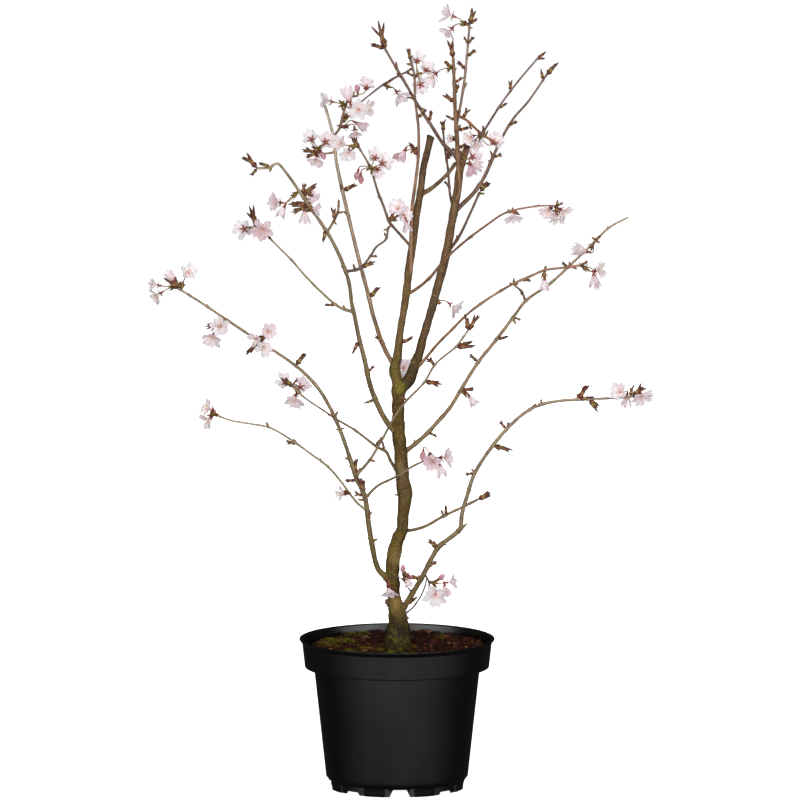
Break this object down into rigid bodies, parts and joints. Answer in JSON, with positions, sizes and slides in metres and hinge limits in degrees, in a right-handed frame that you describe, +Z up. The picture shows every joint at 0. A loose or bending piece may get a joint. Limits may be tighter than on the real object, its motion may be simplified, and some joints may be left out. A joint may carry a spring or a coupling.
{
  "type": "cherry blossom bonsai",
  "caption": "Young flowering cherry tree with bare budding shoots and pale pink double blossom, growing upright in a round black nursery pot filled with mossy compost.",
  "frame": {"origin": "the pot's axis at the level it stands on", "axes": "+Z up along the pot's axis, +X to the right, +Y to the back"},
  "size_m": [0.5038, 0.2491, 0.7867],
  "materials": {
    "pot_plastic": "moulded black plastic, fine matt grain with a soft sheen",
    "compost": "loose dark bark and peat fibres with moss",
    "bark": "young cherry bark, olive brown with algae on old wood and reddish tan shoots",
    "petal": "thin soft petals, white to pale pink with deeper pink hearts"
  },
  "bodies": {
    "root": {"blossom_cluster_01": "petal", "blossom_cluster_02": "petal", "blossom_cluster_03": "petal", "blossom_cluster_04": "petal", "blossom_cluster_05": "petal", "blossom_cluster_06": "petal", "blossom_cluster_07": "petal", "blossom_cluster_08": "petal", "blossom_cluster_09": "petal", "blossom_cluster_10": "petal", "blossom_cluster_11": "petal", "blossom_cluster_12": "petal", "blossom_cluster_13": "petal", "blossom_cluster_14": "petal", "blossom_cluster_15": "petal", "blossom_cluster_16": "petal", "blossom_cluster_17": "petal", "blossom_cluster_18": "petal", "blossom_cluster_19": "petal", "blossom_cluster_20": "petal", "blossom_cluster_21": "petal", "blossom_cluster_22": "petal", "blossom_cluster_23": "petal", "blossom_cluster_24": "petal", "blossom_cluster_25": "petal", "blossom_cluster_26": "petal", "blossom_cluster_27": "petal", "blossom_cluster_28": "petal", "blossom_cluster_29": "petal", "blossom_cluster_30": "petal", "blossom_cluster_31": "petal", "blossom_cluster_32": "petal", "blossom_cluster_33": "petal", "blossom_cluster_34": "petal", "blossom_cluster_35": "petal", "blossom_cluster_36": "petal", "blossom_cluster_37": "petal", "blossom_cluster_38": "petal", "blossom_cluster_39": "petal", "blossom_cluster_40": "petal", "blossom_cluster_41": "petal", "blossom_cluster_42": "petal", "blossom_cluster_43": "petal", "blossom_cluster_44": "petal", "blossom_cluster_45": "petal", "nursery_pot": "pot_plastic", "potting_soil": "compost", "tree_wood": "bark"}
  },
  "joints": []
}
